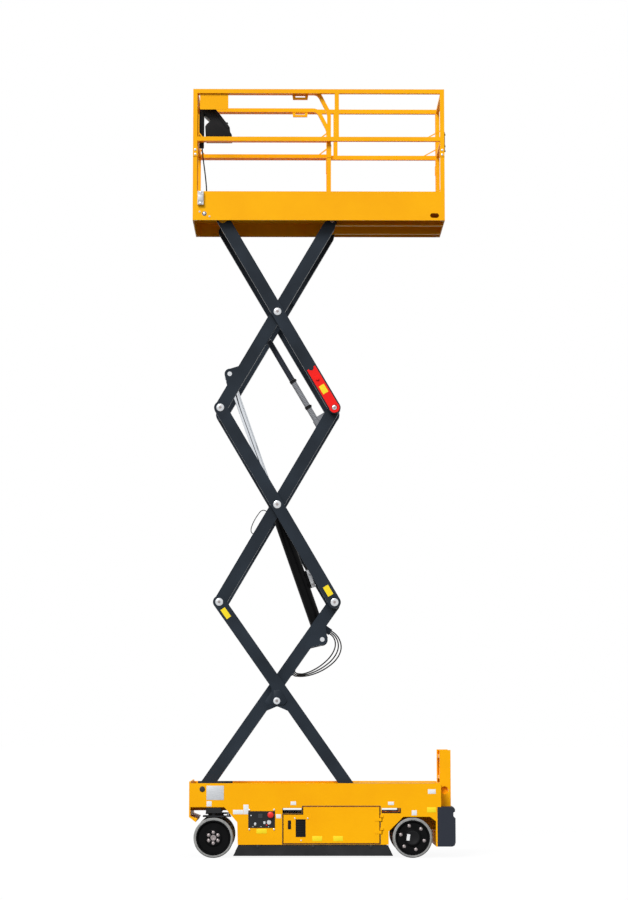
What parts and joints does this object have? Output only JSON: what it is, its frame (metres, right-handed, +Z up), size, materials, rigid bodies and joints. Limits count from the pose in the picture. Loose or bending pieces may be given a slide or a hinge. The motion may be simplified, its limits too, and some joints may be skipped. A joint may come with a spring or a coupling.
{
  "type": "electric slab scissor lift",
  "caption": "Raised electric scissor lift: yellow chassis on solid tyres, dark stacked scissor arms with a lift cylinder, and a railed work platform.",
  "frame": {"origin": "ground, centre of the machine between front bumper and rear cover", "axes": "+X to the rear ladder end, +Y to the side away from the ground controls, +Z up"},
  "size_m": [2.31, 0.82, 6.8096],
  "materials": {
    "yellow_paint": "satin powder coat",
    "arm_paint": "satin",
    "black_paint": "satin",
    "red_paint": "satin",
    "steel": "zinc plated",
    "steel_grey": "satin",
    "chrome_rod": "hard chrome",
    "tyre_rubber": "non-marking rubber",
    "black_plastic": "moulded",
    "grey_plastic": "moulded",
    "nylon": "machined"
  },
  "bodies": {
    "chassis": {"chassis_frame": "yellow_paint", "front_bumper": "yellow_paint", "rear_cover": "black_plastic", "ladder": "yellow_paint", "ground_panel": "black_plastic", "slide_tracks": "steel", "front_axle": "black_paint", "rear_axle": "black_paint"},
    "knuckle_near": {"knuckle_near": "black_paint"},
    "knuckle_far": {"knuckle_far": "black_paint"},
    "tie_rod": {"tie_rod": "steel"},
    "wheel_front_near": {"tyre_front_near": "tyre_rubber", "wheel_front_near": "black_paint"},
    "wheel_front_far": {"tyre_front_far": "tyre_rubber", "wheel_front_far": "black_paint"},
    "wheel_rear_near": {"tyre_rear_near": "tyre_rubber", "wheel_rear_near": "black_paint"},
    "wheel_rear_far": {"tyre_rear_far": "tyre_rubber", "wheel_rear_far": "black_paint"},
    "tray_near": {"tray_near": "yellow_paint", "battery_pack": "black_plastic"},
    "tray_far": {"tray_far": "yellow_paint", "power_unit": "steel_grey"},
    "guard_near": {"guard_near": "black_paint"},
    "guard_far": {"guard_far": "black_paint"},
    "lower_inner": {"lower_inner_arms": "arm_paint", "lower_inner_pins": "steel", "hose_outer": "black_plastic", "hose_middle": "black_plastic", "hose_inner": "black_plastic"},
    "lower_outer": {"lower_outer_arms": "arm_paint", "lower_outer_pins": "steel"},
    "mid_inner": {"mid_inner_arms": "arm_paint", "sensor_cable": "black_plastic"},
    "mid_outer": {"mid_outer_arms": "arm_paint", "mid_outer_pins": "steel"},
    "upper_inner": {"upper_inner_arms": "arm_paint", "upper_inner_pins": "steel"},
    "upper_outer": {"upper_outer_arms": "arm_paint", "upper_outer_pins": "steel", "safety_prop": "red_paint", "cable_conduit": "grey_plastic"},
    "lower_slides": {"lower_slide_blocks": "nylon"},
    "upper_slides": {"upper_slide_blocks": "nylon"},
    "lift_barrel": {"lift_barrel": "black_paint"},
    "lift_rod": {"lift_rod": "chrome_rod"},
    "platform": {"platform_deck": "yellow_paint", "main_rails": "yellow_paint", "platform_pins": "steel", "document_plate": "yellow_paint", "socket_box": "steel"},
    "gate": {"entry_gate": "yellow_paint"},
    "extension": {"extension_deck": "yellow_paint", "extension_rails": "yellow_paint", "control_box": "black_plastic", "control_cable": "black_plastic"}
  },
  "joints": [
    {"name": "scissor_lift", "type": "hinge", "parent": "chassis", "child": "lower_inner", "pos_m": [-1.038, 0, 0.584], "axis": [0, -1, 0], "range_deg": [-54.6, 0]},
    {"name": "lower_centre", "type": "hinge", "parent": "lower_inner", "child": "lower_outer", "pos_m": [-0.39626, 0, 1.35092], "axis": [0, -1, 0], "range_deg": [0, 109.21]},
    {"name": "lower_elbow", "type": "hinge", "parent": "lower_outer", "child": "mid_inner", "pos_m": [-0.90229, 0, 2.21343], "axis": [0, -1, 0], "range_deg": [-109.21, 0]},
    {"name": "mid_centre", "type": "hinge", "parent": "mid_inner", "child": "mid_outer", "pos_m": [-0.39626, 0, 3.07595], "axis": [0, -1, 0], "range_deg": [0, 109.21]},
    {"name": "upper_elbow", "type": "hinge", "parent": "mid_outer", "child": "upper_inner", "pos_m": [-0.90229, 0, 3.93846], "axis": [0, -1, 0], "range_deg": [-109.21, 0]},
    {"name": "upper_centre", "type": "hinge", "parent": "upper_inner", "child": "upper_outer", "pos_m": [-0.39626, 0, 4.80097], "axis": [0, -1, 0], "range_deg": [0, 109.21]},
    {"name": "platform_level", "type": "hinge", "parent": "upper_outer", "child": "platform", "pos_m": [-0.88711, 0, 5.63761], "axis": [0, -1, 0], "range_deg": [-54.61, 0]},
    {"name": "lower_slide_level", "type": "hinge", "parent": "lower_outer", "child": "lower_slides", "pos_m": [0.24549, 0, 0.584], "axis": [0, -1, 0], "range_deg": [-54.61, 0]},
    {"name": "upper_slide_level", "type": "hinge", "parent": "upper_inner", "child": "upper_slides", "pos_m": [0.0946, 0, 5.63761], "axis": [0, -1, 0], "range_deg": [0, 54.61]},
    {"name": "barrel_swing", "type": "hinge", "parent": "lower_inner", "child": "lift_barrel", "pos_m": [0.00274, 0, 1.8913], "axis": [0, -1, 0], "range_deg": [0, 109.54]},
    {"name": "rod_stroke", "type": "slide", "parent": "lift_barrel", "child": "lift_rod", "axis": [-0.3301, 0, 0.9439], "range_m": [-1.07553, 0]},
    {"name": "steering", "type": "hinge", "parent": "chassis", "child": "knuckle_near", "pos_m": [-0.943, -0.346, 0.35], "axis": [0, 0, 1], "range_deg": [-70, 70]},
    {"name": "steering_far", "type": "hinge", "parent": "chassis", "child": "knuckle_far", "pos_m": [-0.943, 0.346, 0.35], "axis": [0, 0, 1], "range_deg": [-70, 70]},
    {"name": "tie_rod_turn", "type": "hinge", "parent": "knuckle_near", "child": "tie_rod", "pos_m": [-0.813, -0.346, 0.35], "axis": [0, 0, 1], "range_deg": [-70, 70]},
    {"name": "wheel_front_near_spin", "type": "hinge", "parent": "knuckle_near", "child": "wheel_front_near", "pos_m": [-0.943, -0.346, 0.172], "axis": [0, 1, 0], "continuous": true},
    {"name": "wheel_front_far_spin", "type": "hinge", "parent": "knuckle_far", "child": "wheel_front_far", "pos_m": [-0.943, 0.346, 0.172], "axis": [0, 1, 0], "continuous": true},
    {"name": "wheel_rear_near_spin", "type": "hinge", "parent": "chassis", "child": "wheel_rear_near", "pos_m": [0.782, -0.346, 0.172], "axis": [0, 1, 0], "continuous": true},
    {"name": "wheel_rear_far_spin", "type": "hinge", "parent": "chassis", "child": "wheel_rear_far", "pos_m": [0.782, 0.346, 0.172], "axis": [0, 1, 0], "continuous": true},
    {"name": "tray_near_swing", "type": "hinge", "parent": "chassis", "child": "tray_near", "pos_m": [0.508, -0.402, 0.28], "axis": [0, 0, 1], "range_deg": [0, 100]},
    {"name": "tray_far_swing", "type": "hinge", "parent": "chassis", "child": "tray_far", "pos_m": [0.508, 0.402, 0.28], "axis": [0, 0, -1], "range_deg": [0, 100]},
    {"name": "guard_near_fold", "type": "hinge", "parent": "chassis", "child": "guard_near", "pos_m": [0, -0.392, 0.1], "axis": [1, 0, 0], "range_deg": [0, 80]},
    {"name": "guard_far_fold", "type": "hinge", "parent": "chassis", "child": "guard_far", "pos_m": [0, 0.392, 0.1], "axis": [-1, 0, 0], "range_deg": [0, 80]},
    {"name": "deck_extension", "type": "slide", "parent": "platform", "child": "extension", "axis": [-1, 0, 0], "range_m": [0, 0.9]},
    {"name": "gate_swing", "type": "hinge", "parent": "platform", "child": "gate", "pos_m": [1.07689, 0.32, 6.25961], "axis": [0, 0, -1], "range_deg": [0, 90]}
  ],
  "couplings": [
    {"joint": "lower_centre", "follows": "scissor_lift", "ratio": -2},
    {"joint": "lower_elbow", "follows": "scissor_lift", "ratio": 2},
    {"joint": "mid_centre", "follows": "scissor_lift", "ratio": -2},
    {"joint": "upper_elbow", "follows": "scissor_lift", "ratio": 2},
    {"joint": "upper_centre", "follows": "scissor_lift", "ratio": -2},
    {"joint": "platform_level", "follows": "scissor_lift", "ratio": 1},
    {"joint": "lower_slide_level", "follows": "scissor_lift", "ratio": 1},
    {"joint": "upper_slide_level", "follows": "scissor_lift", "ratio": -1},
    {"joint": "barrel_swing", "follows": "scissor_lift", "ratio": -2.006},
    {"joint": "rod_stroke", "follows": "scissor_lift", "m_per_rad": 1.1276},
    {"joint": "steering_far", "follows": "steering", "ratio": 1},
    {"joint": "tie_rod_turn", "follows": "steering", "ratio": -1}
  ]
}
